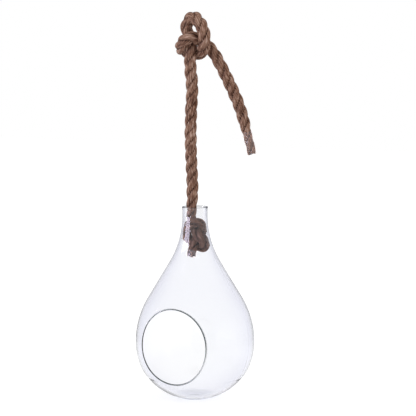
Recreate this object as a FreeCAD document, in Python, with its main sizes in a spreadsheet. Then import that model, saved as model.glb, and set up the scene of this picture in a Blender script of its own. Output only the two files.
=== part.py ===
import FreeCAD, Part
import math
import os
import Sketcher

# A blown glass teardrop with a side opening, hung from a knotted rope.
# The origin is the point under the top of the rope loop where a hook bears.
# The glass axis is Z and the side opening faces -Y.

os.makedirs("parts", exist_ok=True)
doc = FreeCAD.newDocument("TeardropTerrarium")

# Driving sizes in millimetres, angles in degrees
driving = {
    "hang_drop": 240.5,
    "glass_height": 254.0,
    "foot_radius": 10.0,
    "widest_radius": 77.8,
    "widest_height": 76.0,
    "body_radius": 84.0,
    "body_sweep": 20.0,
    "corner_share": 0.835,
    "cone_slope": 31.0,
    "shoulder_share": 0.49,
    "neck_radius": 16.4,
    "neck_length": 12.0,
    "lip_flare": 0.9,
    "flare_height": 4.0,
    "wall_thickness": 1.6,
    "base_thickness": 1.6,
    "lip_rounding": 0.7,
    "opening_width": 91.0,
    "opening_height": 97.6,
    "opening_rise": 1.0,
    "opening_rounding": 0.6,
    "rope_diameter": 11.8,
    "rope_turn": 26.0,
    "knot_depth": 50.3,
    "tape_clearance": 0.2,
    "tape_thickness": 0.3,
    "tape_overhang": 1.5,
}

sheet = doc.addObject("Spreadsheet::Sheet", "Sizes")
for row, (name, value) in enumerate(driving.items(), start=1):
    sheet.set("A%d" % row, name)
    sheet.set("B%d" % row, str(value))
    sheet.setAlias("B%d" % row, name)
doc.recompute()


def size(name):
    return float(getattr(sheet, name))


def originPlane(body, role):
    for feature in body.Origin.OriginFeatures:
        if feature.Role == role:
            return feature
    raise RuntimeError("no origin plane " + role)


def newSketch(body, name):
    sketch = body.newObject("Sketcher::SketchObject", name)
    sketch.AttachmentSupport = [(originPlane(body, "XZ_Plane"), "")]
    sketch.MapMode = "FlatFace"
    return sketch


def bindConstraint(sketch, constraint, expression):
    index = sketch.addConstraint(constraint)
    sketch.setExpression("Constraints[%d]" % index, expression)


def point(x, y):
    return FreeCAD.Vector(x, y, 0)


def arc(centre, radius, start, end):
    circle = Part.Circle(point(*centre), point(0, 0) + FreeCAD.Vector(0, 0, 1), radius)
    return Part.ArcOfCircle(circle, start, end)


# Levels shared by the glass features
foot_level = -size("hang_drop") - size("glass_height")
lip_level = -size("hang_drop")
widest_level = foot_level + size("widest_height")
neck_level = lip_level - size("neck_length")
flare_level = lip_level - size("flare_height")
body_sweep = math.radians(size("body_sweep"))
cone_slope = math.radians(size("cone_slope"))

drop_to_widest = "Sizes.hang_drop + Sizes.glass_height - Sizes.widest_height"

# The corner arc takes a share of the largest that fits above the foot and
# keeps its centre on its own side of the axis
foot_room = (size("widest_height") - size("body_radius") * math.sin(body_sweep)) / (
    1 - math.sin(body_sweep)
)
axis_room = (
    size("body_radius") + (size("widest_radius") - size("body_radius")) / math.cos(body_sweep)
)
corner_radius = size("corner_share") * min(foot_room, axis_room)
corner_rule = (
    "Sizes.corner_share * min((Sizes.widest_height - Sizes.body_radius"
    " * sin(Sizes.body_sweep * 1 deg)) / (1 - sin(Sizes.body_sweep * 1 deg));"
    " Sizes.body_radius + (Sizes.widest_radius - Sizes.body_radius)"
    " / cos(Sizes.body_sweep * 1 deg))"
)

# Shoulder and neck sweep share what the straight cone leaves them
sweep_rise = neck_level - widest_level
sweep_run = size("widest_radius") - size("neck_radius")
both_radii = (sweep_rise * math.sin(cone_slope) - sweep_run * math.cos(cone_slope)) / (
    1 - math.cos(cone_slope)
)
shoulder_radius = size("shoulder_share") * both_radii
shoulder_rule = (
    "Sizes.shoulder_share * ((Sizes.glass_height - Sizes.neck_length - Sizes.widest_height)"
    " * sin(Sizes.cone_slope * 1 deg) - (Sizes.widest_radius - Sizes.neck_radius)"
    " * cos(Sizes.cone_slope * 1 deg)) / (1 - cos(Sizes.cone_slope * 1 deg))"
)

# Arc centres of the wall line, the same for the outside and the inside
side_centre = (size("widest_radius") - size("body_radius"), widest_level)
corner_reach = size("body_radius") - corner_radius
corner_centre = (
    side_centre[0] + corner_reach * math.cos(body_sweep),
    side_centre[1] - corner_reach * math.sin(body_sweep),
)
shoulder_centre = (size("widest_radius") - shoulder_radius, widest_level)
neck_centre = (size("neck_radius") + both_radii - shoulder_radius, neck_level)


def bottomArc(edge_radius, edge_level, touched_radius):
    # Circle centred on the axis, through the edge point, touching the corner arc
    rise = corner_centre[1] - edge_level
    term = (corner_centre[0] ** 2 + rise ** 2 - edge_radius ** 2 - touched_radius ** 2) / 2
    lead = rise ** 2 - touched_radius ** 2
    root = math.sqrt(
        (term * touched_radius) ** 2 + lead * (term ** 2 + (rise * edge_radius) ** 2)
    )
    radius = (term * touched_radius + root) / lead
    centre_level = edge_level + math.sqrt(radius ** 2 - edge_radius ** 2)
    return radius, centre_level


def drawWallLine(sketch, offset, shrink, bottom_edge):
    # One side of the glass wall from its bottom arc to the lip
    corner = corner_radius - offset
    side = size("body_radius") - offset
    shoulder = shoulder_radius - offset
    sweep = both_radii - shoulder_radius + offset
    neck = size("neck_radius") - offset
    lip = neck + size("lip_flare")
    bottom, bottom_level = bottomArc(bottom_edge[0], bottom_edge[1], corner)
    start_angle = math.atan2(bottom_edge[1] - bottom_level, bottom_edge[0])
    touch_angle = math.atan2(corner_centre[1] - bottom_level, corner_centre[0])
    flare = size("flare_height")
    spread = size("lip_flare")
    flare_radius = (flare ** 2 + spread ** 2) / (2 * spread)
    flare_turn = math.asin(flare / flare_radius)
    cos_slope = math.cos(cone_slope)
    sin_slope = math.sin(cone_slope)
    cone_low = point(
        shoulder_centre[0] + shoulder * cos_slope, shoulder_centre[1] + shoulder * sin_slope
    )
    cone_high = point(neck_centre[0] - sweep * cos_slope, neck_centre[1] - sweep * sin_slope)
    shapes = [
        arc((0, bottom_level), bottom, start_angle, touch_angle),
        arc(corner_centre, corner, touch_angle, -body_sweep),
        arc(side_centre, side, -body_sweep, 0),
        arc(shoulder_centre, shoulder, 0, cone_slope),
        Part.LineSegment(cone_low, cone_high),
        arc(neck_centre, sweep, math.pi, math.pi + cone_slope),
        Part.LineSegment(point(neck, neck_level), point(neck, flare_level)),
        arc((neck + flare_radius, flare_level), flare_radius, math.pi - flare_turn, math.pi),
        Part.LineSegment(point(lip, lip_level), point(0, lip_level)),
    ]
    bottom_id, corner_id, side_id, shoulder_id, cone_id, sweep_id, neck_id, flare_id, top_id = [
        sketch.addGeometry(shape) for shape in shapes
    ]
    touching = [
        (bottom_id, 2, corner_id, 1),
        (corner_id, 2, side_id, 1),
        (side_id, 2, shoulder_id, 1),
        (shoulder_id, 2, cone_id, 1),
        (cone_id, 2, sweep_id, 2),
        (sweep_id, 1, neck_id, 1),
        (neck_id, 2, flare_id, 2),
    ]
    for joint in touching:
        sketch.addConstraint(Sketcher.Constraint("Tangent", *joint))
    sketch.addConstraint(Sketcher.Constraint("Coincident", flare_id, 1, top_id, 1))
    sketch.addConstraint(Sketcher.Constraint("PointOnObject", bottom_id, 3, -2))
    sketch.addConstraint(Sketcher.Constraint("Horizontal", side_id, 3, side_id, 2))
    sketch.addConstraint(Sketcher.Constraint("Vertical", neck_id))
    sketch.addConstraint(Sketcher.Constraint("Horizontal", top_id))
    rules = [
        (("Radius", corner_id, corner), corner_rule + shrink),
        (("Radius", side_id, side), "Sizes.body_radius" + shrink),
        (("Radius", shoulder_id, shoulder), shoulder_rule + shrink),
        (
            ("Angle", cone_id, math.pi / 2 + cone_slope),
            "(90 + Sizes.cone_slope) * 1 deg",
        ),
        (("Angle", side_id, body_sweep), "Sizes.body_sweep * 1 deg"),
        (
            ("DistanceX", -1, 1, side_id, 2, size("widest_radius") - offset),
            "Sizes.widest_radius" + shrink,
        ),
        (("DistanceY", side_id, 2, -1, 1, -widest_level), drop_to_widest),
        (("DistanceX", -1, 1, neck_id, 1, neck), "Sizes.neck_radius" + shrink),
        (
            ("DistanceY", neck_id, 1, -1, 1, -neck_level),
            "Sizes.hang_drop + Sizes.neck_length",
        ),
        (("DistanceX", neck_id, 2, top_id, 1, spread), "Sizes.lip_flare"),
        (("DistanceY", top_id, 1, -1, 1, -lip_level), "Sizes.hang_drop"),
        (("DistanceY", neck_id, 2, top_id, 1, flare), "Sizes.flare_height"),
    ]
    for rule, expression in rules:
        bindConstraint(sketch, Sketcher.Constraint(*rule), expression)
    return bottom_id, top_id


# Glass vessel
glass = doc.addObject("PartDesign::Body", "GlassVessel")
glass.Label = "glass_vessel"

# Outside of the teardrop with its flat foot
outer_sketch = newSketch(glass, "OuterProfile")
foot_edge = (size("foot_radius"), foot_level)
outer_bottom, outer_top = drawWallLine(outer_sketch, 0, "", foot_edge)
foot_line = outer_sketch.addGeometry(Part.LineSegment(point(0, foot_level), point(*foot_edge)))
axis_line = outer_sketch.addGeometry(Part.LineSegment(point(0, lip_level), point(0, foot_level)))
outer_sketch.addConstraint(Sketcher.Constraint("Coincident", foot_line, 2, outer_bottom, 1))
outer_sketch.addConstraint(Sketcher.Constraint("Coincident", outer_top, 2, axis_line, 1))
outer_sketch.addConstraint(Sketcher.Constraint("Coincident", axis_line, 2, foot_line, 1))
outer_sketch.addConstraint(Sketcher.Constraint("PointOnObject", foot_line, 1, -2))
outer_sketch.addConstraint(Sketcher.Constraint("PointOnObject", axis_line, 1, -2))
outer_sketch.addConstraint(Sketcher.Constraint("Horizontal", foot_line))
bindConstraint(
    outer_sketch,
    Sketcher.Constraint("DistanceX", foot_line, 1, foot_line, 2, size("foot_radius")),
    "Sizes.foot_radius",
)
bindConstraint(
    outer_sketch,
    Sketcher.Constraint("DistanceY", foot_line, 1, -1, 1, -foot_level),
    "Sizes.hang_drop + Sizes.glass_height",
)
outer_turn = glass.newObject("PartDesign::Revolution", "OuterTurn")
outer_turn.Profile = outer_sketch
outer_turn.ReferenceAxis = (outer_sketch, ["V_Axis"])
outer_turn.Angle = 360
doc.recompute()
solid_volume = outer_turn.Shape.Volume

# Hollow inside, one wall in from the outside and thicker at the base
inner_sketch = newSketch(glass, "InnerProfile")
base_level = foot_level + size("base_thickness")
inner_bottom, inner_top = drawWallLine(
    inner_sketch, size("wall_thickness"), " - Sizes.wall_thickness", (0, base_level)
)
inner_axis = inner_sketch.addGeometry(Part.LineSegment(point(0, lip_level), point(0, base_level)))
inner_sketch.addConstraint(Sketcher.Constraint("Coincident", inner_top, 2, inner_axis, 1))
inner_sketch.addConstraint(Sketcher.Constraint("Coincident", inner_axis, 2, inner_bottom, 1))
inner_sketch.addConstraint(Sketcher.Constraint("PointOnObject", inner_axis, 1, -2))
inner_sketch.addConstraint(Sketcher.Constraint("PointOnObject", inner_axis, 2, -2))
bindConstraint(
    inner_sketch,
    Sketcher.Constraint("DistanceY", inner_axis, 2, -1, 1, -base_level),
    "Sizes.hang_drop + Sizes.glass_height - Sizes.base_thickness",
)
hollow = glass.newObject("PartDesign::Groove", "Hollow")
hollow.Profile = inner_sketch
hollow.ReferenceAxis = (inner_sketch, ["V_Axis"])
hollow.Angle = 360
doc.recompute()
hollow_volume = hollow.Shape.Volume

# Side opening, a slightly tall oval through the front wall only
opening_sketch = newSketch(glass, "OpeningProfile")
opening_half_width = size("opening_width") / 2
opening_half_height = size("opening_height") / 2
opening_centre_level = widest_level + size("opening_rise")
oval = opening_sketch.addGeometry(
    Part.Ellipse(
        point(0, opening_centre_level + opening_half_height),
        point(opening_half_width, opening_centre_level),
        point(0, opening_centre_level),
    )
)
opening_sketch.exposeInternalGeometry(oval)
tall_axis = oval + 1
wide_axis = oval + 2
opening_sketch.addConstraint(Sketcher.Constraint("Vertical", tall_axis))
opening_sketch.addConstraint(Sketcher.Constraint("PointOnObject", oval, 3, -2))
bindConstraint(
    opening_sketch,
    Sketcher.Constraint("Distance", tall_axis, size("opening_height")),
    "Sizes.opening_height",
)
bindConstraint(
    opening_sketch,
    Sketcher.Constraint("Distance", wide_axis, size("opening_width")),
    "Sizes.opening_width",
)
bindConstraint(
    opening_sketch,
    Sketcher.Constraint("DistanceY", oval, 3, -1, 1, -opening_centre_level),
    drop_to_widest + " - Sizes.opening_rise",
)
opening = glass.newObject("PartDesign::Pocket", "SideOpening")
opening.Profile = opening_sketch
opening.Type = "Length"
opening.setExpression("Length", "Sizes.widest_radius + Sizes.wall_thickness")
opening.Reversed = True
doc.recompute()
opened_volume = opening.Shape.Volume

# Fire polished edges of the opening and the lip


def onOpening(vertex_point):
    across = vertex_point.x / opening_half_width
    up = (vertex_point.z - opening_centre_level) / opening_half_height
    return vertex_point.y < 0 and abs(math.hypot(across, up) - 1) < 1e-4


def edgeNames(shape, rule):
    names = []
    for index, edge in enumerate(shape.Edges, start=1):
        middle = edge.valueAt((edge.FirstParameter + edge.LastParameter) / 2)
        ends = [vertex.Point for vertex in edge.Vertexes]
        if all(rule(spot) for spot in ends + [middle]):
            names.append("Edge%d" % index)
    return names


opening_polish = glass.newObject("PartDesign::Fillet", "OpeningPolish")
opening_polish.Base = (opening, edgeNames(opening.Shape, onOpening))
opening_polish.setExpression("Radius", "min(Sizes.opening_rounding; 0.45 * Sizes.wall_thickness)")
doc.recompute()
lip_polish = glass.newObject("PartDesign::Fillet", "LipPolish")
lip_polish.Base = (
    opening_polish,
    edgeNames(opening_polish.Shape, lambda spot: abs(spot.z - lip_level) < 1e-6),
)
lip_polish.setExpression("Radius", "min(Sizes.lip_rounding; 0.45 * Sizes.wall_thickness)")
doc.recompute()
print("glass volumes", solid_volume, hollow_volume, opened_volume, lip_polish.Shape.Volume)

# Rope route, chosen by eye in the rope's own upright plane
# Each point is across, away and up, the knot in the neck first
neck_knot = [
    (-5.5, -7.0, -27.0),
    (-5.0, -7.5, -19.5),
    (-3.4, -5.0, -12.5),
    (0.0, 1.0, -8.0),
    (5.0, 7.0, -4.5),
    (9.8, 8.3, 1.0),
    (11.8, 4.8, 7.5),
    (10.9, -0.2, 14.0),
    (7.2, -4.6, 19.5),
    (1.0, -7.0, 21.6),
    (-5.4, -7.0, 19.5),
    (-9.6, -4.8, 13.5),
    (-12.5, -1.2, 7.0),
    (-12.8, 5.5, 1.0),
    (-10.0, 11.0, -5.5),
    (-4.4, 13.5, -12.5),
    (3.6, 12.0, -18.0),
    (10.8, 5.0, -18.5),
    (13.2, -3.0, -13.0),
    (10.8, -8.0, -4.8),
    (5.0, -6.6, 1.4),
    (0.6, -1.2, 5.2),
    (-1.2, 5.2, 10.0),
    (-2.8, 6.4, 18.5),
    (-2.8, 4.0, 29.5),
    (-2.2, 0.0, 46.0),
    (-3.0, 0.0, 66.0),
]
# Standing part, the loop over the hook, its knot and the free tail
hanging_run = [
    (-4.1, 0.6, -190.0),
    (-5.9, 0.4, -155.0),
    (-5.2, 0.0, -118.5),
    (-4.2, 0.0, -84.5),
    (-6.5, -1.0, -60.5),
    (-6.0, -3.0, -44.5),
    (-4.5, -2.0, -30.0),
    (-8.5, 4.0, -17.0),
    (-11.5, 6.0, -6.5),
    (-10.5, 5.0, 2.0),
    (-4.5, 1.5, 7.5),
    (2.0, -4.0, 7.0),
    (6.0, -10.0, 1.5),
    (10.0, -15.5, -6.5),
    (13.0, -18.0, -16.5),
    (14.0, -14.0, -27.0),
    (11.5, -4.0, -36.0),
    (6.0, 6.5, -41.0),
    (-2.0, 14.0, -40.5),
    (-11.0, 14.0, -39.0),
    (-17.0, 7.0, -36.5),
    (-18.5, -2.0, -32.5),
    (-17.0, -10.0, -26.0),
    (-11.0, -15.5, -19.5),
    (-3.0, -15.0, -16.5),
    (4.5, -8.0, -17.0),
    (9.5, 0.0, -20.5),
    (15.0, 5.0, -25.0),
    (22.0, 4.0, -34.2),
    (30.0, 0.0, -49.3),
    (45.0, 0.5, -80.4),
    (57.5, 0.0, -111.9),
    (66.5, 0.0, -141.5),
    (74.5, 0.0, -171.0),
]
knot_level = lip_level - size("knot_depth")
rope_turn = math.radians(size("rope_turn"))
arc_share = 0.45


def placed(across, away, up):
    x = across * math.cos(rope_turn) - away * math.sin(rope_turn)
    y = across * math.sin(rope_turn) + away * math.cos(rope_turn)
    return FreeCAD.Vector(x, y, up)


route = [placed(across, away, knot_level + up) for across, away, up in neck_knot]
route += [placed(*spot) for spot in hanging_run]


def routeEdges(points):
    # Straight runs joined by arcs that touch both runs
    edges = []
    last = points[0]
    for index in range(1, len(points) - 1):
        corner = points[index]
        arriving = corner - points[index - 1]
        leaving = points[index + 1] - corner
        reach = arc_share * min(arriving.Length, leaving.Length)
        turn = arriving.getAngle(leaving)
        radius = reach / math.tan(turn / 2)
        arriving.normalize()
        leaving.normalize()
        start = corner - arriving * reach
        end = corner + leaving * reach
        inward = (leaving - arriving).normalize()
        middle = corner + inward * (radius / math.cos(turn / 2) - radius)
        edges.append(Part.LineSegment(last, start).toShape())
        edges.append(Part.Arc(start, middle, end).toShape())
        print("bend %2d radius %6.1f" % (index, radius))
        last = end
    edges.append(Part.LineSegment(last, points[-1]).toShape())
    return edges


def addPath(name, edges):
    path = doc.addObject("Part::Feature", name)
    path.Shape = Part.Wire(edges)
    return path


def addTube(name, path, radius_expression):
    # Round section square to the start of the path, swept along all of it
    section = doc.addObject("Part::Circle", name + "Section")
    section.setExpression("Radius", radius_expression)
    first = path.Shape.Edges[0]
    direction = first.tangentAt(first.FirstParameter)
    section.Placement = FreeCAD.Placement(
        first.valueAt(first.FirstParameter),
        FreeCAD.Rotation(FreeCAD.Vector(0, 0, 1), direction),
    )
    tube = doc.addObject("Part::Sweep", name)
    tube.Sections = [section]
    tube.Spine = (path, ["Edge%d" % (n + 1) for n in range(len(path.Shape.Edges))])
    tube.Solid = True
    tube.Frenet = False
    doc.recompute()
    return tube


# Hanging rope
rope_edges = routeEdges(route)
rope_path = addPath("RopePath", rope_edges)
rope = addTube("HangingRope", rope_path, "Sizes.rope_diameter / 2")
rope.Label = "hanging_rope"
rope_section_area = math.pi * (size("rope_diameter") / 2) ** 2
print("rope length", rope_path.Shape.Length)
print("rope volume ratio", rope.Shape.Volume / (rope_section_area * rope_path.Shape.Length))


def halfArc(edge, from_middle):
    # The half of an arc beside the last run
    middle = (edge.FirstParameter + edge.LastParameter) / 2
    if from_middle:
        return edge.Curve.toShape(middle, edge.LastParameter)
    return edge.Curve.toShape(edge.FirstParameter, middle)


def addTape(label, name, run_start, run_end, bend):
    # Clear wrap round the last run, reaching a little past the cut end
    outward = (run_start - run_end).normalize()
    beyond = run_start + outward * size("tape_overhang")
    path = addPath(name + "Path", [Part.LineSegment(beyond, run_end).toShape(), bend])
    clearance = "Sizes.rope_diameter / 2 + Sizes.tape_clearance"
    outside = addTube(name + "Outside", path, clearance + " + Sizes.tape_thickness")
    inside = addTube(name + "Inside", path, clearance)
    tape = doc.addObject("Part::Cut", name)
    tape.Base = outside
    tape.Tool = inside
    tape.Label = label
    doc.recompute()
    return tape


# Tape round the end inside the glass
first_run = rope_edges[0]
knot_tape = addTape(
    "knot_end_tape",
    "KnotEndTape",
    first_run.valueAt(first_run.FirstParameter),
    first_run.valueAt(first_run.LastParameter),
    halfArc(rope_edges[1], False),
)

# Tape round the free tail end
last_run = rope_edges[-1]
tail_tape = addTape(
    "tail_end_tape",
    "TailEndTape",
    last_run.valueAt(last_run.LastParameter),
    last_run.valueAt(last_run.FirstParameter),
    halfArc(rope_edges[-2], True),
)

# Checks before anything is written
if not solid_volume > hollow_volume > opened_volume > lip_polish.Shape.Volume:
    raise RuntimeError("a cut in the glass removed nothing")
for thing in doc.Objects:
    if "Invalid" in thing.State or "Error" in thing.State:
        raise RuntimeError("failed object " + thing.Name)
pieces = [glass, rope, knot_tape, tail_tape]
for piece in pieces:
    if piece.Shape.isNull() or not piece.Shape.isValid():
        raise RuntimeError("bad shape " + piece.Label)
for piece in pieces:
    piece.Shape.exportStep("parts/%s.step" % piece.Label)
    print(piece.Label, len(piece.Shape.Solids), "solid, volume", piece.Shape.Volume)
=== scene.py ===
import bpy
import math
import random
import numpy as np
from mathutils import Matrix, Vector


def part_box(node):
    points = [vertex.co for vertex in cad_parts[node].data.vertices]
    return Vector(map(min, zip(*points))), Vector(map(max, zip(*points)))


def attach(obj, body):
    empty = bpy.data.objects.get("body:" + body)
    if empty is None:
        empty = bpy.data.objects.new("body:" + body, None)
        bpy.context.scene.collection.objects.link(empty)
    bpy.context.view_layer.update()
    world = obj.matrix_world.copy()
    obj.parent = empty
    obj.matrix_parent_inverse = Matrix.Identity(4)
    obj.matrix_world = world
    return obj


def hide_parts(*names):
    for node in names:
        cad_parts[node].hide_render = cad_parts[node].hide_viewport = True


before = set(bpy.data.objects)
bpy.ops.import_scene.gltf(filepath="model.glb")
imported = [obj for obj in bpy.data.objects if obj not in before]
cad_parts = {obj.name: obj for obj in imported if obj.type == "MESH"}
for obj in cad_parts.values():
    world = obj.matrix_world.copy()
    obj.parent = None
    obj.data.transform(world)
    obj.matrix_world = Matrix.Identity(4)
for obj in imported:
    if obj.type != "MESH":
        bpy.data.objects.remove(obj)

for leftover in ("Cube", "Light", "Camera"):
    if leftover in bpy.data.objects:
        bpy.data.objects.remove(bpy.data.objects[leftover])
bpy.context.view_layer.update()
print("frame loaded")


# Camera

cameraView = {
    "azimuth": 26.0,
    "elevation": 5.8,
    "distance": 3.1,
    "lens": 205.3,
    "aimLevel": -0.2424,
    "aimRight": 0.0170,
}

around = math.radians(cameraView["azimuth"])
above = math.radians(cameraView["elevation"])
sightLine = Vector(
    (math.sin(around) * math.cos(above), -math.cos(around) * math.cos(above), math.sin(above))
)
cameraRight = Vector((math.cos(around), math.sin(around), 0))
aim = Vector((0, 0, cameraView["aimLevel"])) + cameraRight * cameraView["aimRight"]
bpy.ops.object.camera_add(location=aim + sightLine * cameraView["distance"])
camera = bpy.context.object
camera.name = "photo_camera"
camera.rotation_euler = sightLine.to_track_quat("Z", "Y").to_euler()
camera.data.lens = cameraView["lens"]
camera.data.sensor_width = 36
camera.data.clip_start = 0.05
bpy.context.scene.camera = camera
bpy.context.scene.view_settings.view_transform = "Standard"
print("camera placed")


# Helpers

def pickNothing():
    bpy.ops.object.select_all(action="DESELECT")


def newMaterial(name):
    material = bpy.data.materials.new(name)
    material.use_nodes = True
    nodes = material.node_tree.nodes
    nodes.clear()
    output = nodes.new("ShaderNodeOutputMaterial")
    shader = nodes.new("ShaderNodeBsdfPrincipled")
    material.node_tree.links.new(shader.outputs[0], output.inputs["Surface"])
    return material, nodes, material.node_tree.links, shader, output


def addNoise(nodes, links, vector, scale, detail=4.0, roughness=0.5, distortion=0.0):
    noise = nodes.new("ShaderNodeTexNoise")
    noise.inputs["Scale"].default_value = scale
    noise.inputs["Detail"].default_value = detail
    noise.inputs["Roughness"].default_value = roughness
    noise.inputs["Distortion"].default_value = distortion
    links.new(vector, noise.inputs["Vector"])
    return noise.outputs["Fac"]


def addMapping(nodes, links, vector, scale):
    mapping = nodes.new("ShaderNodeMapping")
    mapping.inputs["Scale"].default_value = scale
    links.new(vector, mapping.inputs["Vector"])
    return mapping.outputs["Vector"]


def addRamp(nodes, links, value, stops):
    ramp = nodes.new("ShaderNodeValToRGB")
    elements = ramp.color_ramp.elements
    while len(elements) < len(stops):
        elements.new(0.5)
    for element, (position, colour) in zip(elements, stops):
        element.position = position
        element.color = (*colour, 1)
    links.new(value, ramp.inputs["Fac"])
    return ramp.outputs["Color"]


def addMath(nodes, links, operation, first, second):
    node = nodes.new("ShaderNodeMath")
    node.operation = operation
    for socket, value in zip(node.inputs, (first, second)):
        if isinstance(value, (int, float)):
            socket.default_value = value
        else:
            links.new(value, socket)
    return node.outputs[0]


def addMany(nodes, links, operation, values):
    # The same sum, product or maximum over a whole list
    total = values[0]
    for value in values[1:]:
        total = addMath(nodes, links, operation, total, value)
    return total


def addVectorMath(nodes, links, operation, first, second=None):
    node = nodes.new("ShaderNodeVectorMath")
    node.operation = operation
    links.new(first, node.inputs[0])
    if isinstance(second, tuple):
        node.inputs[1].default_value = second
    elif second is not None:
        links.new(second, node.inputs[1])
    return node.outputs["Value" if operation in ("DOT_PRODUCT", "DISTANCE") else "Vector"]


def addMix(nodes, links, share, first, second):
    # Two shaders laid over each other
    mix = nodes.new("ShaderNodeMixShader")
    for socket, value in zip(mix.inputs, (share, first, second)):
        links.new(value, socket)
    return mix.outputs[0]


def addBlend(nodes, links, kind, share, first, second):
    # Two colours, an RGBA mix has them on its sockets 6 and 7
    mix = nodes.new("ShaderNodeMix")
    mix.data_type = "RGBA"
    mix.blend_type = kind
    sockets = (mix.inputs[0], mix.inputs[6], mix.inputs[7])
    for socket, value in zip(sockets, (share, first, second)):
        if isinstance(value, (int, float)):
            socket.default_value = value
        elif isinstance(value, tuple):
            socket.default_value = (*value, 1)
        else:
            links.new(value, socket)
    return mix.outputs[2]


def addPart(value, name):
    tree = value.node.id_data
    parts = tree.nodes.new("ShaderNodeSeparateXYZ")
    tree.links.new(value, parts.inputs[0])
    return parts.outputs[name]


def addRange(value, low, high, first, last):
    tree = value.node.id_data
    span = tree.nodes.new("ShaderNodeMapRange")
    ends = {"From Min": low, "From Max": high, "To Min": first, "To Max": last}
    for name, amount in ends.items():
        span.inputs[name].default_value = amount
    tree.links.new(value, span.inputs["Value"])
    return span.outputs[0]


def addBump(nodes, links, height, strength, distance, under=None):
    bump = nodes.new("ShaderNodeBump")
    bump.inputs["Strength"].default_value = strength
    bump.inputs["Distance"].default_value = distance
    links.new(height, bump.inputs["Height"])
    if under is not None:
        links.new(under, bump.inputs["Normal"])
    return bump.outputs["Normal"]


def meshPiece(name, points, faces, uvs=None, shares=None):
    # One smooth mesh from plain lists, with a UV for each corner and a value for each point
    mesh = bpy.data.meshes.new(name)
    mesh.from_pydata([tuple(p) for p in points], [], faces)
    if uvs is not None:
        layer = mesh.uv_layers.new(name="alongYarns")
        layer.data.foreach_set("uv", np.asarray(uvs, np.float32).ravel())
    if shares is not None:
        value = mesh.attributes.new("grooveShadeCrown", "FLOAT", "POINT")
        value.data.foreach_set("value", np.asarray(shares, np.float32))
    mesh.polygons.foreach_set("use_smooth", [True] * len(mesh.polygons))
    mesh.update()
    piece = bpy.data.objects.new(name, mesh)
    bpy.context.scene.collection.objects.link(piece)
    return piece


# Rope

rope = {
    "turn": 26.0,  # degrees from the part's front to the side the knots were laid from
    "lay": 0.047,  # metres along the rope for one turn of a strand
    "yarns": 11,
    "yarnLay": 0.027,
    "sides": 44,
    "ringGap": 0.00115,
    "strandShare": 0.290,  # radius of a strand as a share of the rope's width
    "helixShare": 0.214,  # how far its middle stands from the rope's own
    "yarnDepth": 0.085,
    "widths": [  # metres along from the end in the glass, metres wide
        (0.000, 0.0121), (0.010, 0.0121), (0.016, 0.0134), (0.040, 0.0134), (0.050, 0.0130),
        (0.088, 0.0130), (0.105, 0.0138), (0.118, 0.0148), (0.140, 0.0150), (0.152, 0.0142),
        (0.165, 0.0134), (0.186, 0.0134), (0.200, 0.0148), (0.215, 0.0160), (0.330, 0.0162),
        (0.365, 0.0168), (0.395, 0.0164), (0.425, 0.0160), (0.450, 0.0168), (0.480, 0.0172),
        (0.500, 0.0170), (0.520, 0.0176), (0.545, 0.0166), (0.560, 0.0156), (0.600, 0.0156),
        (0.625, 0.0162), (0.700, 0.0162), (0.728, 0.0158), (0.742, 0.0121), (0.800, 0.0121),
    ],
    "wallFrom": -0.330,  # level down to which the glass wall presses the knot
    "wallGap": 0.0002,
    "press": 0.0020,
    "swell": 0.018,  # each of these three wanders, and its step is in metres
    "swellStep": 0.019,
    "shift": 0.10,
    "shiftStep": 0.060,
    "yarnLift": 0.022,
    "yarnLiftStep": 0.009,
    "yarnTile": 0.022,
    "endHollow": 0.0006,
    "hairs": 900,
    "hairLean": 0.35,
    "hairReach": (0.0018, 0.0050),
    "hairLift": (0.10, 0.75),
    "hairThick": (0.00003, 0.00007),
    "hairRoot": (0.40, 0.46),
    "hairsFrom": 0.215,
    "hairsShort": 0.034,
    "seed": 7,
}

# Route in metres: across, away and up, the knot in the neck first
neckKnot = [
    (-0.0050, -0.0065, -0.3045), (-0.0034, -0.0072, -0.2975), (-0.0014, -0.0050, -0.2908),
    (0.0004, 0.0008, -0.2862), (0.0035, 0.0065, -0.2830), (0.0085, 0.0075, -0.2780),
    (0.0103, 0.0038, -0.2725), (0.0093, -0.0010, -0.2668), (0.0066, -0.0050, -0.2620),
    (0.0010, -0.0074, -0.2603), (-0.0050, -0.0070, -0.2620), (-0.0100, -0.0038, -0.2670),
    (-0.0122, -0.0006, -0.2720), (-0.0122, 0.0042, -0.2775), (-0.0086, 0.0096, -0.2836),
    (-0.0038, 0.0122, -0.2894), (0.0040, 0.0110, -0.2938), (0.0110, 0.0050, -0.2948),
    (0.0128, -0.0030, -0.2908), (0.0106, -0.0084, -0.2836), (0.0050, -0.0070, -0.2778),
    (0.0008, -0.0014, -0.2736), (-0.0020, 0.0050, -0.2690), (-0.0040, 0.0062, -0.2610),
    (-0.0050, 0.0040, -0.2510), (-0.0042, 0.0006, -0.2385), (-0.0030, 0.0000, -0.2220),
]
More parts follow.
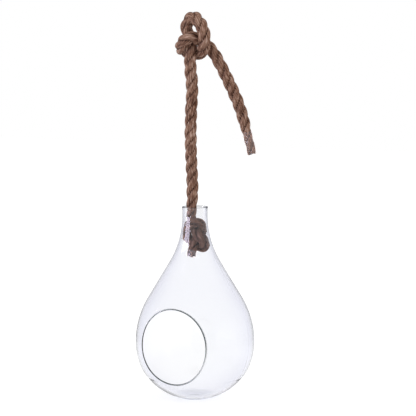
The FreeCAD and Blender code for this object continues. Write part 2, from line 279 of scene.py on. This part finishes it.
# Standing part, loop, its knot and the free tail
hangingRun = [
    (-0.0041, 0.0006, -0.1900), (-0.0059, 0.0004, -0.1550), (-0.0052, 0.0000, -0.1185),
    (-0.0030, 0.0000, -0.0845), (-0.0060, -0.0010, -0.0605), (-0.0060, -0.0030, -0.0445),
    (-0.0045, -0.0020, -0.0300), (-0.0085, 0.0040, -0.0170), (-0.0115, 0.0060, -0.0065),
    (-0.0095, 0.0050, -0.0008), (-0.0042, 0.0015, 0.0068), (0.0018, -0.0040, 0.0054),
    (0.0056, -0.0100, 0.0000), (0.0100, -0.0155, -0.0065), (0.0122, -0.0185, -0.0165),
    (0.0124, -0.0145, -0.0272), (0.0100, -0.0040, -0.0365), (0.0060, 0.0065, -0.0410),
    (-0.0020, 0.0140, -0.0405), (-0.0110, 0.0140, -0.0390), (-0.0170, 0.0070, -0.0365),
    (-0.0185, -0.0020, -0.0325), (-0.0170, -0.0100, -0.0260), (-0.0110, -0.0158, -0.0208),
    (-0.0030, -0.0150, -0.0185), (0.0040, -0.0080, -0.0225), (0.0080, 0.0010, -0.0262),
    (0.0140, 0.0062, -0.0292), (0.0222, 0.0050, -0.0360), (0.0300, 0.0000, -0.0493),
    (0.0458, 0.0005, -0.0804), (0.0592, 0.0000, -0.1119), (0.0672, 0.0000, -0.1415),
    (0.0745, 0.0000, -0.1710),
]


def placed(across, away, up):
    turn = math.radians(rope["turn"])
    return (
        across * math.cos(turn) - away * math.sin(turn),
        across * math.sin(turn) + away * math.cos(turn),
        up,
    )


def smoothLine(name, controls):
    # Points of the smooth line that the route's own spline draws
    curve = bpy.data.curves.new(name, "CURVE")
    curve.dimensions = "3D"
    spline = curve.splines.new("NURBS")
    spline.points.add(len(controls) - 1)
    for target, spot in zip(spline.points, controls):
        target.co = (*spot, 1)
    spline.order_u = 3
    spline.use_endpoint_u = True
    spline.resolution_u = 16
    drawn = bpy.data.objects.new(name, curve)
    bpy.context.scene.collection.objects.link(drawn)
    mesh = bpy.data.meshes.new_from_object(drawn)
    line = np.array([vertex.co for vertex in mesh.vertices], float)
    bpy.data.objects.remove(drawn)
    bpy.data.meshes.remove(mesh)
    return line


def lengthAlong(line):
    return np.concatenate([[0], np.cumsum(np.linalg.norm(np.diff(line, axis=0), axis=1))])


def evenRings(line, gap):
    reach = lengthAlong(line)
    count = int(round(reach[-1] / gap))
    stations = np.linspace(0, reach[-1], count + 1)
    rings = np.stack([np.interp(stations, reach, line[:, axis]) for axis in range(3)], 1)
    return rings, stations


def ringFrames(rings):
    # Two directions square to the line at each ring, carried along without twist
    ahead = np.gradient(rings, axis=0)
    ahead /= np.linalg.norm(ahead, axis=1)[:, None]
    first = np.cross(ahead[0], (0.3, 0.8, 0.5))
    first /= np.linalg.norm(first)
    sides, ups = [], []
    for direction in ahead:
        first = first - direction * np.dot(first, direction)
        first /= np.linalg.norm(first)
        sides.append(first.copy())
        ups.append(np.cross(direction, first))
    return ahead, np.array(sides), np.array(ups)


def wander(stations, step, count, seed):
    # Slow random change along the rope, one row for each yarn or strand
    chance = np.random.default_rng(seed)
    knots = np.arange(0, stations[-1] + 2 * step, step)
    rows = [np.interp(stations, knots, chance.normal(0, 1, len(knots))) for _ in range(count)]
    return np.array(rows)


def keptInGlass(points):
    # The knot's coils flatten against the inner wall of the neck and shoulder
    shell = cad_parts["glass_vessel"].data
    wall = {}
    for face in shell.polygons:
        away = math.hypot(face.center.x, face.center.y)
        inward = -(face.normal.x * face.center.x + face.normal.y * face.center.y)
        if face.center.z > rope["wallFrom"] and inward > 0.3 * away:
            for corner in face.vertices:
                spot = shell.vertices[corner].co
                wall[round(spot.z, 5)] = math.hypot(spot.x, spot.y)
    levels = sorted(wall)
    spots = np.array([tuple(p) for p in points])
    reach = np.hypot(spots[:, 0], spots[:, 1])
    limit = np.interp(spots[:, 2], levels, [wall[level] for level in levels])
    start = limit - rope["wallGap"] - rope["press"]
    over = np.clip(reach - start, 0, None)
    eased = start + rope["press"] * (1 - np.exp(-over / rope["press"]))
    inside = (spots[:, 2] < levels[-1]) & (over > 0)
    spots[inside, :2] *= (eased[inside] / reach[inside])[:, None]
    return spots


def buildRope(rings, stations):
    ahead, sides, ups = ringFrames(rings)
    lengths, widths = zip(*rope["widths"])
    width = np.interp(stations, lengths, widths)
    yarns, corners = rope["yarns"], rope["sides"]
    swell = wander(stations, rope["swellStep"], 3, rope["seed"]) * rope["swell"]
    shift = wander(stations, rope["shiftStep"], 1, rope["seed"] + 1)[0] * rope["shift"]
    angles = np.arange(corners) * 2 * math.pi / corners
    points, grooveShadeCrown, faces, uvs = [], [], [], []
    for strand in range(3):
        lift = wander(stations, rope["yarnLiftStep"], yarns, rope["seed"] + 10 + strand)
        lift = lift * rope["yarnLift"]
        turned = 2 * math.pi * (stations / rope["lay"] + strand / 3) + shift
        out = sides * np.cos(turned)[:, None] + ups * np.sin(turned)[:, None]
        across = ups * np.cos(turned)[:, None] - sides * np.sin(turned)[:, None]
        middle = rings + out * (rope["helixShare"] * width)[:, None]
        # Section square to the strand's own slant
        slant = np.arctan2(2 * math.pi * rope["helixShare"] * width, rope["lay"])
        level = across * np.cos(slant)[:, None] - ahead * np.sin(slant)[:, None]
        unwound = 2 * math.pi * stations / rope["yarnLay"]
        base = len(points)
        for ring in range(len(rings)):
            spun = angles - unwound[ring]
            yarnPlace = (angles * yarns / (2 * math.pi)) % yarns
            ridge = np.abs(np.sin(angles * yarns / 2)) ** 0.6
            raised = np.interp(yarnPlace, np.arange(yarns + 1), [*lift[:, ring], lift[0, ring]])
            radius = rope["strandShare"] * width[ring] * (
                1 - rope["yarnDepth"] + rope["yarnDepth"] * ridge + raised + swell[strand][ring]
            )
            local = (
                out[ring] * (np.cos(spun) * radius)[:, None]
                + level[ring] * (np.sin(spun) * radius)[:, None]
            )
            points.extend(middle[ring] + local)
            # How far out each point stands; it sets the painted shade between strands and yarns
            outward = rope["helixShare"] * width[ring] + np.cos(spun) * radius
            grooveShadeCrown.extend(np.clip(outward / (0.5 * width[ring]), 0, 1) * (0.55 + 0.45 * ridge))
        for ring in range(len(rings) - 1):
            for corner in range(corners):
                after = (corner + 1) % corners
                low = base + ring * corners
                high = low + corners
                faces.append((low + corner, low + after, high + after, high + corner))
                left, right = corner / corners + strand, (corner + 1) / corners + strand
                below = stations[ring] / rope["yarnTile"]
                above = stations[ring + 1] / rope["yarnTile"]
                uvs.extend([(left, below), (right, below), (right, above), (left, above)])
        # Cut ends, a little hollow in the middle
        for ring, inward in ((0, 1), (len(rings) - 1, -1)):
            centre = len(points)
            points.append(middle[ring] + ahead[ring] * inward * rope["endHollow"])
            grooveShadeCrown.append(0.6)
            low = base + ring * corners
            for corner in range(corners):
                after = (corner + 1) % corners
                if inward > 0:
                    faces.append((low + after, low + corner, centre))
                else:
                    faces.append((low + corner, low + after, centre))
                uvs.extend([(corner / corners, 0.2), (corner / corners + 0.03, 0.2), (0.5, 0.5)])
    return meshPiece("laid_rope", keptInGlass(points), faces, uvs, grooveShadeCrown)


def buildFibres(rings, stations):
    # Short loose hairs that lift off the strands
    chance = random.Random(rope["seed"])
    ahead, sides, ups = ringFrames(rings)
    lengths, widths = zip(*rope["widths"])
    last = stations[-1] - rope["hairsShort"]
    free = [n for n, s in enumerate(stations) if rope["hairsFrom"] < s < last]
    points, faces, uvs = [], [], []
    for _ in range(rope["hairs"]):
        ring = chance.choice(free)
        width = float(np.interp(stations[ring], lengths, widths))
        turned = chance.uniform(0, 2 * math.pi)
        out = sides[ring] * math.cos(turned) + ups[ring] * math.sin(turned)
        over = ups[ring] * math.cos(turned) - sides[ring] * math.sin(turned)
        way = 1 if chance.random() < 0.5 else -1
        along = ahead[ring] * way + over * chance.uniform(-rope["hairLean"], rope["hairLean"])
        along = along / np.linalg.norm(along)
        reach = chance.uniform(*rope["hairReach"])
        lift = chance.uniform(*rope["hairLift"]) ** 1.5
        thick = chance.uniform(*rope["hairThick"])
        start = rings[ring] + out * width * chance.uniform(*rope["hairRoot"])
        base = len(points)
        for step in range(4):
            share = step / 3
            rise = lift * share * (1.3 - 0.5 * share)
            spot = start + along * reach * share + out * reach * rise
            thin = thick * (1 - 0.8 * share)
            for corner in range(3):
                turn = corner * 2 * math.pi / 3
                points.append(spot + out * math.cos(turn) * thin + over * math.sin(turn) * thin)
        for step in range(3):
            for corner in range(3):
                after = (corner + 1) % 3
                low = base + step * 3
                faces.append((low + corner, low + after, low + 3 + after, low + 3 + corner))
                uvs.extend([(0.1, 0.1), (0.2, 0.1), (0.2, 0.9), (0.1, 0.9)])
    # The hairs get almost none of the painted groove shade
    return meshPiece("rope_fibres", points, faces, uvs, [0.95] * len(points))


route = [placed(*spot) for spot in neckKnot + hangingRun]
ropeLine = smoothLine("ropeRoute", route)
ropeRings, ropeStations = evenRings(ropeLine, rope["ringGap"])
laidRope = buildRope(ropeRings, ropeStations)
ropeFibres = buildFibres(ropeRings, ropeStations)
print("rope built, length", round(float(ropeStations[-1]), 4))

# Jute: browns that change along the yarns, with painted shade between the strands
jute = {
    "browns": [  # place on the scale of tones, colour
        (0.40, (0.044, 0.013, 0.006)),
        (0.46, (0.132, 0.050, 0.024)),
        (0.50, (0.246, 0.122, 0.073)),
        (0.54, (0.400, 0.232, 0.158)),
        (0.60, (0.680, 0.490, 0.405)),
    ],
    "grey": (0.240, 0.165, 0.135),
    "greyShare": 0.20,
    # Painted shade between the strands, by how far out a point stands
    "grooveShade": [
        (0.36, (0.06, 0.035, 0.025)),
        (0.47, (0.50, 0.40, 0.34)),
        (0.64, (1.0, 1.0, 1.0)),
    ],
    # Painted shade for the rope inside the glass
    "shadeInGlass": (0.50, 0.46, 0.43),
    "shadeInGlassLevels": (-0.240, -0.258),
    "sheenTint": (0.85, 0.66, 0.56),
}
juteMaterial, nodes, links, shader, output = newMaterial("brown_jute")
yarnMap = nodes.new("ShaderNodeUVMap")
yarnMap.uv_map = "alongYarns"
place = nodes.new("ShaderNodeTexCoord").outputs["Object"]
longWise = addMapping(nodes, links, yarnMap.outputs["UV"], (17, 2.0, 1))
fineWise = addMapping(nodes, links, yarnMap.outputs["UV"], (34, 3.4, 1))
streaks = addNoise(nodes, links, longWise, 1.0, 5.0, 0.66)
fine = addNoise(nodes, links, fineWise, 1.0, 5.0, 0.7)
blotches = addNoise(nodes, links, place, 95.0, 4.0, 0.6)
slowTone = addNoise(nodes, links, place, 22.0, 2.0, 0.5)
tone = addMany(nodes, links, "ADD", [
    addMath(nodes, links, "MULTIPLY", noise, share)
    for noise, share in ((blotches, 0.18), (fine, 0.40), (streaks, 0.42))
])
browns = addRamp(nodes, links, tone, jute["browns"])
greyed = addMath(nodes, links, "MULTIPLY", slowTone, jute["greyShare"])
browns = addBlend(nodes, links, "MIX", greyed, browns, jute["grey"])
# Painted shade: darker in the grooves between strands and yarns
grooveShadeCrownValue = nodes.new("ShaderNodeAttribute")
grooveShadeCrownValue.attribute_name = "grooveShadeCrown"
grooveShadeTone = addRamp(nodes, links, grooveShadeCrownValue.outputs["Fac"], jute["grooveShade"])
browns = addBlend(nodes, links, "MULTIPLY", 1.0, browns, grooveShadeTone)
# Painted shade: the rope is darker where it stands inside the glass, for the dimmer light there
shadeInGlass = addRange(addPart(place, "Z"), *jute["shadeInGlassLevels"], 0.0, 1.0)
browns = addBlend(nodes, links, "MULTIPLY", shadeInGlass, browns, jute["shadeInGlass"])
links.new(browns, shader.inputs["Base Color"])
shader.inputs["Roughness"].default_value = 0.78
shader.inputs["Specular IOR Level"].default_value = 0.20
shader.inputs["Sheen Weight"].default_value = 0.12
shader.inputs["Sheen Roughness"].default_value = 0.45
shader.inputs["Sheen Tint"].default_value = (*jute["sheenTint"], 1)
fibreBump = addBump(nodes, links, streaks, 0.9, 0.0006)
links.new(addBump(nodes, links, fine, 0.6, 0.0003, fibreBump), shader.inputs["Normal"])
for piece in (laidRope, ropeFibres):
    piece.data.materials.append(juteMaterial)
    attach(piece, "root")
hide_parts("hanging_rope")


# Clear tape round the two cut ends

film = {
    "radius": 0.00622,
    "wall": 0.00016,
    "past": 0.0014,  # metres that it stands past the cut end
    "sides": 72,
    "ringGap": 0.0006,
    "wrinkle": 0.00016,
    "waves": 9,
    "tailReach": 0.0305,  # metres of rope that it covers
    "knotReach": 0.0080,
    "base": (0.05, 0.045, 0.045),
    "through": (0.91, 0.895, 0.885),
}


def buildFilm(name, rings, seed):
    # Thin closed sleeve that follows the rope's end, creased along and across
    ahead, sides, ups = ringFrames(rings)
    corners = film["sides"]
    chance = np.random.default_rng(seed)
    # A crease has a count round the sleeve, a phase, a run along it and a height
    waves = []
    for _ in range(film["waves"]):
        around, phase = int(chance.integers(2, 11)), chance.uniform(0, 6.3)
        waves.append((around, phase, chance.uniform(-900, 900), chance.uniform(0.4, 1)))
    angles = np.arange(corners) * 2 * math.pi / corners
    reach = lengthAlong(rings)
    skins = []
    for wall in (film["wall"] / 2, -film["wall"] / 2):
        skin = []
        for ring, spot in enumerate(rings):
            crease = sum(
                height * np.sin(around * angles + phase + along * reach[ring])
                for around, phase, along, height in waves
            )
            hug = 0.35 * np.cos(3 * (angles - 2 * math.pi * reach[ring] / rope["lay"]))
            radius = film["radius"] + wall + film["wrinkle"] * (crease / 2.2 + hug)
            skin.append(
                spot
                + sides[ring] * (np.cos(angles) * radius)[:, None]
                + ups[ring] * (np.sin(angles) * radius)[:, None]
            )
        skins.append(skin)
    points = [p for skin in skins for ring in skin for p in ring]
    inner = len(rings) * corners
    faces = []
    for ring in range(len(rings) - 1):
        for corner in range(corners):
            after = (corner + 1) % corners
            low = ring * corners
            high = low + corners
            faces.append((low + corner, low + after, high + after, high + corner))
            within = inner + low
            beyond = inner + high
            faces.append((within + after, within + corner, beyond + corner, beyond + after))
    # Rims that close the sleeve at both ends
    last = (len(rings) - 1) * corners
    rim = inner + last
    for corner in range(corners):
        after = (corner + 1) % corners
        faces.append((after, corner, inner + corner, inner + after))
        faces.append((last + corner, last + after, rim + after, rim + corner))
    return meshPiece(name, points, faces)


def endRings(line, reach):
    # Rings for a sleeve from just past the line's first point on along the rope
    sleeve = line[: np.searchsorted(lengthAlong(line), reach)]
    outward = sleeve[0] - sleeve[3]
    outward /= np.linalg.norm(outward)
    sleeve = np.concatenate([[sleeve[0] + outward * film["past"]], sleeve])
    return evenRings(sleeve, film["ringGap"])[0]


tailFilm = buildFilm("tail_film", endRings(ropeLine[::-1], film["tailReach"]), 3)
knotFilm = buildFilm("knot_film", endRings(ropeLine, film["knotReach"]), 5)
filmMaterial, nodes, links, shader, output = newMaterial("clear_film")
place = nodes.new("ShaderNodeTexCoord").outputs["Object"]
shader.inputs["Base Color"].default_value = (*film["base"], 1)
shader.inputs["IOR"].default_value = 1.5
shader.inputs["Specular IOR Level"].default_value = 0.24
creases = addNoise(nodes, links, place, 380.0, 3.0, 0.6, 0.6)
cloudy = addNoise(nodes, links, place, 160.0, 2.0, 0.5)
links.new(addMath(nodes, links, "MULTIPLY", cloudy, 0.35), shader.inputs["Roughness"])
links.new(addBump(nodes, links, creases, 0.8, 0.0007), shader.inputs["Normal"])
clear = nodes.new("ShaderNodeBsdfTransparent")
clear.inputs["Color"].default_value = (*film["through"], 1)
both = nodes.new("ShaderNodeAddShader")
links.new(clear.outputs[0], both.inputs[0])
links.new(shader.outputs[0], both.inputs[1])
links.new(both.outputs[0], output.inputs["Surface"])
for piece, node in ((tailFilm, "tail_end_tape"), (knotFilm, "knot_end_tape")):
    piece.data.materials.append(filmMaterial)
    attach(piece, "root")
    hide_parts(node)
print("tape built")


# Blown glass

glass = {
    "absorbed": (1.0, 0.85, 0.25),
    "density": 5.0,
    # Painted edge shade, by how far the surface turns from the eye
    "bodyEdgeShade": [  # from facing the eye, 0, to edge on, 1
        (0.00, (0.986, 0.990, 1.000)),
        (0.30, (0.976, 0.979, 1.000)),
        (0.50, (0.945, 0.948, 0.988)),
        (0.64, (0.915, 0.918, 0.975)),
        (0.80, (0.950, 0.951, 0.992)),
        (0.97, (0.985, 0.986, 1.000)),
    ],
    "neckEdgeShade": [
        (0.25, (0.990, 0.993, 1.000)),
        (0.45, (0.930, 0.932, 0.970)),
        (0.60, (0.720, 0.725, 0.800)),
        (0.75, (0.470, 0.475, 0.550)),
        (0.97, (0.250, 0.255, 0.310)),
    ],
    "neckLevels": (-0.320, -0.275),
    "footFadeLevels": (-0.478, -0.493),
    "footFade": 0.9,
    "edge": (0.018, 0.044, 0.044),
    "edgeShare": 0.98,
    "cutDepths": (-0.050, -0.044),
    "beadDepths": (-0.040, -0.036),
    "beadShare": 0.95,
    "lipShare": 0.44,
    "lipLevels": (-0.2428, -0.2418),
    "clear": (0.94, 0.95, 0.99),
    "footClear": 0.50,
    "footClearLevels": (-0.4880, -0.4915),
    "bowlMiddle": -0.4185,
    "openingMiddle": -0.4175,
    "openingHalfWidth": 0.0455,
    "openingHalfHeight": 0.0488,
}
glassMaterial, nodes, links, shader, output = newMaterial("blown_clear_glass")
place = nodes.new("ShaderNodeTexCoord").outputs["Object"]
normal = nodes.new("ShaderNodeNewGeometry").outputs["Normal"]
side, away, level = (addPart(place, name) for name in "XYZ")
shader.inputs["IOR"].default_value = 1.5
shader.inputs["Transmission Weight"].default_value = 1.0
slope = nodes.new("ShaderNodeLayerWeight")
slope.inputs["Blend"].default_value = 0.5
slope = slope.outputs["Facing"]
# Painted edge shade: the glass is tinted darker and bluer where it turns edge on, for the dark
# room its edges refract
bodyEdgeShade = addRamp(nodes, links, slope, glass["bodyEdgeShade"])
# The foot stands in white light from the floor, so the painted edge shade fades there
footFade = addRange(level, *glass["footFadeLevels"], 0.0, glass["footFade"])
bodyEdgeShade = addBlend(nodes, links, "MIX", footFade, bodyEdgeShade, (1.0, 1.0, 1.0))
# The drawn-out neck is thicker glass; painted shade makes it darker towards its sides, for the
# dark room that thick glass refracts there
neckEdgeShade = addRamp(nodes, links, slope, glass["neckEdgeShade"])
neckShare = addRange(level, *glass["neckLevels"], 0.0, 1.0)
paintedEdgeShade = addBlend(nodes, links, "MIX", neckShare, bodyEdgeShade, neckEdgeShade)
links.new(paintedEdgeShade, shader.inputs["Base Color"])
waves = addNoise(nodes, links, place, 14.0, 2.0, 0.4)
smears = addNoise(nodes, links, place, 40.0, 3.0, 0.5)
links.new(addMath(nodes, links, "MULTIPLY", smears, 0.02), shader.inputs["Roughness"])
links.new(addBump(nodes, links, waves, 0.05, 0.004), shader.inputs["Normal"])
absorption = nodes.new("ShaderNodeVolumeAbsorption")
absorption.inputs["Color"].default_value = (*[1 - share for share in glass["absorbed"]], 1)
absorption.inputs["Density"].default_value = glass["density"]
links.new(absorption.outputs[0], output.inputs["Volume"])

# Fire-polished cut of the opening, a grey green line, darkest at its top right
fromMiddle = addVectorMath(nodes, links, "SUBTRACT", place, (0, 0, glass["bowlMiddle"]))
outward = addVectorMath(nodes, links, "NORMALIZE", fromMiddle)
square = addVectorMath(nodes, links, "DOT_PRODUCT", outward, normal)
square = addMath(nodes, links, "ABSOLUTE", square, 0)
fromLeft = addRange(side, -0.045, -0.012, 0.05, glass["edgeShare"])
fromBelow = addRange(level, -0.394, -0.374, 0.0, glass["edgeShare"])
leaning = addVectorMath(nodes, links, "DOT_PRODUCT", outward, (0.57, 0, 0.82))
leaning = addMath(nodes, links, "ABSOLUTE", leaning, 0)
strength = addMath(nodes, links, "MAXIMUM", fromLeft, fromBelow)
strength = addMath(
    nodes, links, "MULTIPLY", strength, addRange(leaning, 0.15, 0.50, 0.50, 1.15)
)
cutFace = addMany(nodes, links, "MULTIPLY", [
    addRange(square, 0.55, 0.85, 1.0, 0.0),
    addRange(away, *glass["cutDepths"], 1.0, 0.0),
    strength,
])
# The bead beside the cut, an ellipse seen along Y
across = addMath(nodes, links, "MULTIPLY", side, 1 / glass["openingHalfWidth"])
lift = addMath(nodes, links, "ADD", level, -glass["openingMiddle"])
lift = addMath(nodes, links, "MULTIPLY", lift, 1 / glass["openingHalfHeight"])
ellipse = addMany(nodes, links, "ADD", [
    addMath(nodes, links, "POWER", across, 2),
    addMath(nodes, links, "POWER", lift, 2),
])
bead = addMany(nodes, links, "MULTIPLY", [
    addRange(ellipse, 1.0, 1.08, glass["beadShare"], 0.0),
    addRange(away, *glass["beadDepths"], 1.0, 0.0),
    strength,
])
lipTop = addMany(nodes, links, "MULTIPLY", [
    addRange(addPart(normal, "Z"), 0.10, 0.45, 0.0, glass["lipShare"]),
    addRange(level, *glass["lipLevels"], 0.0, 1.0),
])
edgeShader = nodes.new("ShaderNodeBsdfPrincipled")
edgeShader.inputs["Base Color"].default_value = (*glass["edge"], 1)
edgeShader.inputs["Roughness"].default_value = 0.25
edgeMask = addMany(nodes, links, "MAXIMUM", [cutFace, bead, lipTop])
edged = addMix(nodes, links, edgeMask, shader.outputs[0], edgeShader.outputs[0])

# The foot lets the floor's light straight through
clear = nodes.new("ShaderNodeBsdfTransparent")
clear.inputs["Color"].default_value = (*glass["clear"], 1)
footMask = addRange(level, *glass["footClearLevels"], 0.0, glass["footClear"])
footed = addMix(nodes, links, footMask, edged, clear.outputs[0])
# The lamps reach the knot through the glass
shadowRays = nodes.new("ShaderNodeLightPath").outputs["Is Shadow Ray"]
lit = addMix(nodes, links, shadowRays, footed, clear.outputs[0])
links.new(lit, output.inputs["Surface"])
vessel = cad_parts["glass_vessel"]
if not vessel.material_slots:
    vessel.data.materials.append(glassMaterial)
for slot in vessel.material_slots:
    slot.material = glassMaterial
print("glass finished")


# Floor

floorTones = {
    "viewedNear": 0.62,  # shares of glow that each kind of ray finds
    "viewedFar": 0.90,
    "refracted": 0.92,
    "mirrored": 0.80,
    "near": 0.03,  # metres from the foot
    "far": 0.17,
    "glow": 1.16,
    "refractedLess": 0.090,  # how much less glow they find
    "mirroredNearLess": 0.25,
    "mirroredFarLess": 0.84,
    "mirroredNear": 0.30,
    "mirroredFar": 0.70,
}
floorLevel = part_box("glass_vessel")[0].z
pickNothing()
bpy.ops.mesh.primitive_plane_add(size=8, location=(0, 0, floorLevel - 0.0002))
floor = bpy.context.object
floor.name = "floor"
floorMaterial, nodes, links, shader, output = newMaterial("white_floor")
shader.inputs["Base Color"].default_value = (0.94, 0.96, 1.0, 1)
shader.inputs["Roughness"].default_value = 0.30
shader.inputs["Specular IOR Level"].default_value = 0.4
paths = nodes.new("ShaderNodeLightPath").outputs
refracted = paths["Is Transmission Ray"]
mirrored = addMath(nodes, links, "SUBTRACT", paths["Is Glossy Ray"], refracted)
spot = nodes.new("ShaderNodeNewGeometry").outputs["Position"]
distance = addVectorMath(nodes, links, "DISTANCE", spot, (0, 0, floorLevel))
# How much of the floor's tone is its own white glow, by the kind of ray
viewed = addRange(
    distance, floorTones["near"], floorTones["far"],
    floorTones["viewedNear"], floorTones["viewedFar"],
)
glowShare = addMany(nodes, links, "MAXIMUM", [
    addMath(nodes, links, "MULTIPLY", paths["Is Camera Ray"], viewed),
    addMath(nodes, links, "MULTIPLY", refracted, floorTones["refracted"]),
    addMath(nodes, links, "MULTIPLY", mirrored, floorTones["mirrored"]),
])
glow = nodes.new("ShaderNodeEmission")
glow.inputs["Color"].default_value = (1, 1, 1, 1)
mirroredLess = addRange(
    distance, floorTones["mirroredNear"], floorTones["mirroredFar"],
    floorTones["mirroredNearLess"], floorTones["mirroredFarLess"],
)
dimming = addMany(nodes, links, "MAXIMUM", [
    addMath(nodes, links, "MULTIPLY", refracted, floorTones["refractedLess"]),
    addMath(nodes, links, "MULTIPLY", mirrored, mirroredLess),
])
glowStrength = addMath(nodes, links, "SUBTRACT", floorTones["glow"], dimming)
links.new(glowStrength, glow.inputs["Strength"])
blend = addMix(nodes, links, glowShare, shader.outputs[0], glow.outputs[0])
links.new(blend, output.inputs["Surface"])
floor.data.materials.append(floorMaterial)
print("floor laid")


# World and lamps

light = {
    "world": 0.62,  # strength of the room's soft light
    "mirrored": 0.40,
    "mirroredTint": (0.88, 0.88, 1.0),
    "ceiling": 0.50,
    "keyPower": 7.0,
    "fillPower": 5.0,
    "stripPower": 122.0,
    "stripTint": (0.86, 0.80, 1.0),
}
world = bpy.data.worlds.new("studio")
bpy.context.scene.world = world
world.use_nodes = True
nodes, links = world.node_tree.nodes, world.node_tree.links
nodes.clear()
output = nodes.new("ShaderNodeOutputWorld")
paths = nodes.new("ShaderNodeLightPath").outputs
soft = nodes.new("ShaderNodeBackground")
soft.inputs["Color"].default_value = (0.97, 0.98, 1.0, 1)
soft.inputs["Strength"].default_value = light["world"]
white = nodes.new("ShaderNodeBackground")
white.inputs["Color"].default_value = (1, 1, 1, 1)
# Refracted rays find the ceiling dimmer than the walls
height = addPart(nodes.new("ShaderNodeTexCoord").outputs["Generated"], "Z")
wall = addRange(height, 0.10, 0.45, 1.0, light["ceiling"])
whiteStrength = addMath(nodes, links, "MAXIMUM", wall, paths["Is Camera Ray"])
links.new(whiteStrength, white.inputs["Strength"])
seen = addMath(nodes, links, "MAXIMUM", paths["Is Camera Ray"], paths["Is Transmission Ray"])
room = addMix(nodes, links, seen, soft.outputs[0], white.outputs[0])
# Mirrored rays find a dimmer room, which keeps the rope clear behind the glass
dim = nodes.new("ShaderNodeBackground")
dim.inputs["Color"].default_value = (*light["mirroredTint"], 1)
dim.inputs["Strength"].default_value = light["mirrored"]
mirrored = addMath(
    nodes, links, "SUBTRACT", paths["Is Glossy Ray"], paths["Is Transmission Ray"]
)
room = addMix(nodes, links, mirrored, room, dim.outputs[0])
links.new(room, output.inputs["Surface"])


def addSoftbox(name, azimuth, elevation, distance, size, power, target):
    # Soft rectangular lamp at a bearing from the target, facing it
    turn, lift = math.radians(azimuth), math.radians(elevation)
    flat = math.cos(lift)
    toLamp = Vector((math.sin(turn) * flat, -math.cos(turn) * flat, math.sin(lift)))
    bpy.ops.object.light_add(type="AREA", location=Vector(target) + toLamp * distance)
    lamp = bpy.context.object
    lamp.name = name
    lamp.rotation_euler = toLamp.to_track_quat("Z", "Y").to_euler()
    lamp.data.shape = "RECTANGLE"
    lamp.data.size, lamp.data.size_y = size
    lamp.data.energy = power
    lamp.visible_camera = False
    lamp.visible_glossy = False
    lamp.visible_transmission = False
    return lamp


addSoftbox("key_softbox", -35, 35, 1.4, (0.7, 0.9), light["keyPower"], (0, 0, -0.2))
addSoftbox("fill_softbox", 95, 25, 1.5, (0.7, 0.9), light["fillPower"], (0, 0, -0.2))
# The pale stripe in the neck is this lamp's own reflection
strip = addSoftbox("edge_strip", -41, 9, 2.5, (2.0, 1.75), light["stripPower"], (0, 0, -0.29))
strip.visible_diffuse = False
strip.visible_glossy = True
strip.data.color = light["stripTint"]
print("lamps set")
